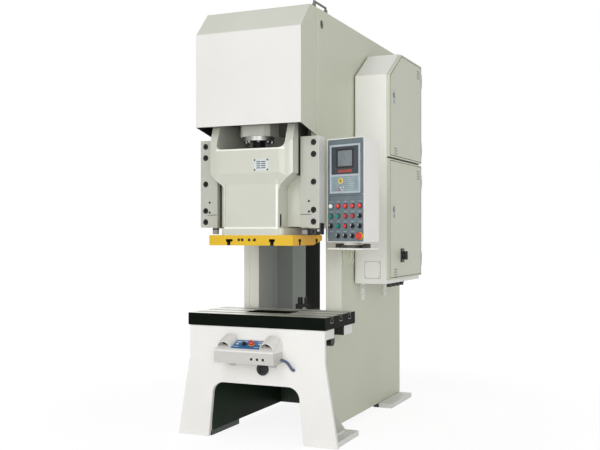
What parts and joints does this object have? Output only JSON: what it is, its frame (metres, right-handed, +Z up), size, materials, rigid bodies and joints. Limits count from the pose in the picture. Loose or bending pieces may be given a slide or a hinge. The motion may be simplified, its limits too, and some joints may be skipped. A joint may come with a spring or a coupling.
{
  "type": "servo press",
  "caption": "Open C-frame servo press: welded side plates, guided slide on a ball screw, bolster with T-slots, swivelling control pendant and door cabinet.",
  "frame": {"origin": "on the floor, in the middle of the four anchor bolt holes", "axes": "+X to the operator's right, +Y from the operator to the back, +Z up"},
  "size_m": [1.2684, 1.925, 2.676],
  "materials": {
    "frame_paint": "satin enamel",
    "white_paint": "satin enamel",
    "slide_paint": "satin enamel on casting",
    "yellow_paint": "satin enamel",
    "machined_steel": "ground",
    "dark_iron": "oiled sides, ground top",
    "black_steel": "black oxide",
    "gear_steel": "ground",
    "grey_panel": "fine texture",
    "dark_plastic": "moulded",
    "black_plastic": "moulded",
    "black_rubber": "matt",
    "blue_panel": "printed film",
    "red_plastic": "moulded",
    "green_plastic": "moulded",
    "conduit_grey": "corrugated sleeve"
  },
  "bodies": {
    "frame": {"side_plate_left": "frame_paint", "side_plate_right": "frame_paint", "columns": "frame_paint", "leg_plate": "white_paint", "bed_plate": "frame_paint", "crown_box": "frame_paint", "rear_tie_plate": "frame_paint", "feet": "white_paint", "guide_rails": "frame_paint", "gibs": "frame_paint", "gib_bolts": "black_steel", "hood_shell": "frame_paint", "hood_front": "white_paint", "bolster": "dark_iron", "drive_head": "frame_paint", "bearing_ring": "machined_steel", "servo_motor": "dark_iron", "cabinet_shell": "white_paint", "cabinet_brackets": "white_paint", "cabinet_glands": "black_plastic", "mounting_panel": "machined_steel", "servo_drive": "dark_plastic", "pendant_arm": "white_paint", "two_hand_box": "white_paint", "two_hand_panel": "blue_panel", "conduit": "conduit_grey", "air_fittings": "black_rubber"},
    "slide": {"slide_casting": "slide_paint", "slide_plate": "yellow_paint", "drive_screw": "black_steel"},
    "nut": {"ball_nut": "gear_steel", "nut_gear": "gear_steel"},
    "motor_shaft": {"motor_pinion": "gear_steel"},
    "upper_door": {"upper_door": "frame_paint"},
    "lower_door": {"lower_door": "frame_paint", "switch_base": "black_plastic"},
    "upper_lock": {"upper_lock": "machined_steel"},
    "lower_lock": {"lower_lock": "machined_steel"},
    "main_switch": {"main_switch": "black_plastic"},
    "pendant": {"pendant_case": "white_paint", "pendant_panel": "grey_panel", "display_module": "dark_plastic"},
    "pendant_estop": {"pendant_estop": "red_plastic"},
    "palm_left": {"palm_button_left": "black_plastic"},
    "palm_right": {"palm_button_right": "black_plastic"},
    "box_estop": {"box_estop": "red_plastic"},
    "box_selector": {"box_selector": "black_plastic"},
    "push_1": {"push_button_1": "green_plastic"},
    "push_2": {"push_button_2": "green_plastic"},
    "push_3": {"push_button_3": "red_plastic"},
    "push_4": {"push_button_4": "red_plastic"},
    "push_5": {"push_button_5": "green_plastic"},
    "push_6": {"push_button_6": "red_plastic"},
    "selector_1": {"selector_1": "black_plastic"},
    "selector_2": {"selector_2": "black_plastic"},
    "selector_3": {"selector_3": "black_plastic"},
    "selector_4": {"selector_4": "black_plastic"},
    "selector_5": {"selector_5": "black_plastic"},
    "selector_6": {"selector_6": "black_plastic"},
    "selector_7": {"selector_7": "black_plastic"}
  },
  "joints": [
    {"name": "slide_stroke", "type": "slide", "parent": "frame", "child": "slide", "axis": [0, 0, -1], "range_m": [0, 0.16]},
    {"name": "nut_turn", "type": "hinge", "parent": "frame", "child": "nut", "pos_m": [0, -0.91, 2], "axis": [0, 0, 1], "range_deg": [-0.01, 1440.01]},
    {"name": "motor_turn", "type": "hinge", "parent": "frame", "child": "motor_shaft", "pos_m": [0, -0.685, 2.3], "axis": [0, 0, -1], "range_deg": [-0.01, 2880.01]},
    {"name": "upper_door_swing", "type": "hinge", "parent": "frame", "child": "upper_door", "pos_m": [0.596, 0.572, 2.1], "axis": [0, 0, 1], "range_deg": [0, 110]},
    {"name": "lower_door_swing", "type": "hinge", "parent": "frame", "child": "lower_door", "pos_m": [0.596, 0.572, 1.35], "axis": [0, 0, 1], "range_deg": [0, 110]},
    {"name": "upper_lock_turn", "type": "hinge", "parent": "upper_door", "child": "upper_lock", "pos_m": [0.584, -0.105, 2.18286], "axis": [-1, 0, 0], "range_deg": [0, 90]},
    {"name": "lower_lock_turn", "type": "hinge", "parent": "lower_door", "child": "lower_lock", "pos_m": [0.584, -0.105, 1.41774], "axis": [-1, 0, 0], "range_deg": [0, 90]},
    {"name": "main_switch_turn", "type": "hinge", "parent": "lower_door", "child": "main_switch", "pos_m": [0.604, 0.076, 1.108], "axis": [1, 0, 0], "range_deg": [0, 90]},
    {"name": "pendant_swivel", "type": "hinge", "parent": "frame", "child": "pendant", "pos_m": [0.571, -0.805, 1.207], "axis": [0, 0, 1], "range_deg": [-30, 30]},
    {"name": "pendant_estop_press", "type": "slide", "parent": "pendant", "child": "pendant_estop", "axis": [0.342, 0.9397, 0], "range_m": [0, 0.006], "stiffness_N_per_m": 1500},
    {"name": "palm_left_press", "type": "slide", "parent": "frame", "child": "palm_left", "axis": [0, 0.4016, -0.9158], "range_m": [0, 0.006], "stiffness_N_per_m": 1500},
    {"name": "palm_right_press", "type": "slide", "parent": "frame", "child": "palm_right", "axis": [0, 0.4016, -0.9158], "range_m": [0, 0.006], "stiffness_N_per_m": 1500},
    {"name": "box_estop_press", "type": "slide", "parent": "frame", "child": "box_estop", "axis": [0, 0.4016, -0.9158], "range_m": [0, 0.006], "stiffness_N_per_m": 1500},
    {"name": "box_selector_turn", "type": "hinge", "parent": "frame", "child": "box_selector", "pos_m": [-0.0375, -1.035, 0.5915], "axis": [0, 0.4016, -0.9158], "range_deg": [-45, 45]},
    {"name": "push_1_press", "type": "slide", "parent": "pendant", "child": "push_1", "axis": [0.342, 0.9397, 0], "range_m": [0, 0.004], "stiffness_N_per_m": 1000},
    {"name": "push_2_press", "type": "slide", "parent": "pendant", "child": "push_2", "axis": [0.342, 0.9397, 0], "range_m": [0, 0.004], "stiffness_N_per_m": 1000},
    {"name": "push_3_press", "type": "slide", "parent": "pendant", "child": "push_3", "axis": [0.342, 0.9397, 0], "range_m": [0, 0.004], "stiffness_N_per_m": 1000},
    {"name": "push_4_press", "type": "slide", "parent": "pendant", "child": "push_4", "axis": [0.342, 0.9397, 0], "range_m": [0, 0.004], "stiffness_N_per_m": 1000},
    {"name": "push_5_press", "type": "slide", "parent": "pendant", "child": "push_5", "axis": [0.342, 0.9397, 0], "range_m": [0, 0.004], "stiffness_N_per_m": 1000},
    {"name": "push_6_press", "type": "slide", "parent": "pendant", "child": "push_6", "axis": [0.342, 0.9397, 0], "range_m": [0, 0.004], "stiffness_N_per_m": 1000},
    {"name": "selector_1_turn", "type": "hinge", "parent": "pendant", "child": "selector_1", "pos_m": [0.65333, -0.90627, 1.363], "axis": [0.342, 0.9397, 0], "range_deg": [-45, 45]},
    {"name": "selector_2_turn", "type": "hinge", "parent": "pendant", "child": "selector_2", "pos_m": [0.44284, -0.82965, 1.304], "axis": [0.342, 0.9397, 0], "range_deg": [-45, 45]},
    {"name": "selector_3_turn", "type": "hinge", "parent": "pendant", "child": "selector_3", "pos_m": [0.60071, -0.88711, 1.304], "axis": [0.342, 0.9397, 0], "range_deg": [-45, 45]},
    {"name": "selector_4_turn", "type": "hinge", "parent": "pendant", "child": "selector_4", "pos_m": [0.65333, -0.90627, 1.304], "axis": [0.342, 0.9397, 0], "range_deg": [-45, 45]},
    {"name": "selector_5_turn", "type": "hinge", "parent": "pendant", "child": "selector_5", "pos_m": [0.49546, -0.84881, 1.245], "axis": [0.342, 0.9397, 0], "range_deg": [-45, 45]},
    {"name": "selector_6_turn", "type": "hinge", "parent": "pendant", "child": "selector_6", "pos_m": [0.54809, -0.86796, 1.245], "axis": [0.342, 0.9397, 0], "range_deg": [-45, 45]},
    {"name": "selector_7_turn", "type": "hinge", "parent": "pendant", "child": "selector_7", "pos_m": [0.60071, -0.88711, 1.245], "axis": [0.342, 0.9397, 0], "range_deg": [-45, 45]}
  ],
  "couplings": [
    {"joint": "nut_turn", "follows": "slide_stroke", "rad_per_m": 157.08},
    {"joint": "motor_turn", "follows": "slide_stroke", "rad_per_m": 314.16}
  ]
}
